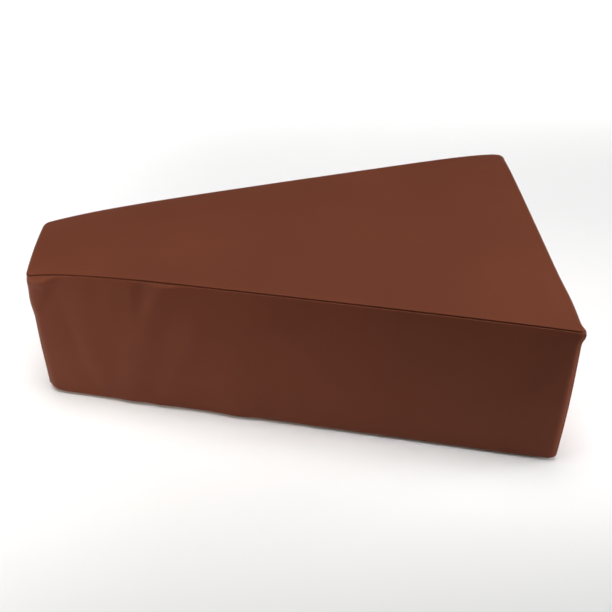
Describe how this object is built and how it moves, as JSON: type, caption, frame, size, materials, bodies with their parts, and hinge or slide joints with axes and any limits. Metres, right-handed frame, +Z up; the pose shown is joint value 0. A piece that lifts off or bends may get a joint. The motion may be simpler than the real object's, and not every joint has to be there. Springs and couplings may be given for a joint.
{
  "type": "positioning pad",
  "caption": "Firm tapering foam pad in a boxed satin vinyl cover, wide at one end and narrow at the other, that holds legs or a body in position.",
  "frame": {"origin": "middle of the pad's box in plan, on the surface that the bottom panel rests on", "axes": "+X along the pad from its narrow end to its wide end, +Y across it to the back boxing, +Z up"},
  "size_m": [0.5124, 0.3492, 0.1599],
  "materials": {
    "vinyl": "satin brown vinyl-coated fabric with a faint grain"
  },
  "bodies": {
    "root": {"pad": "vinyl"}
  },
  "joints": []
}
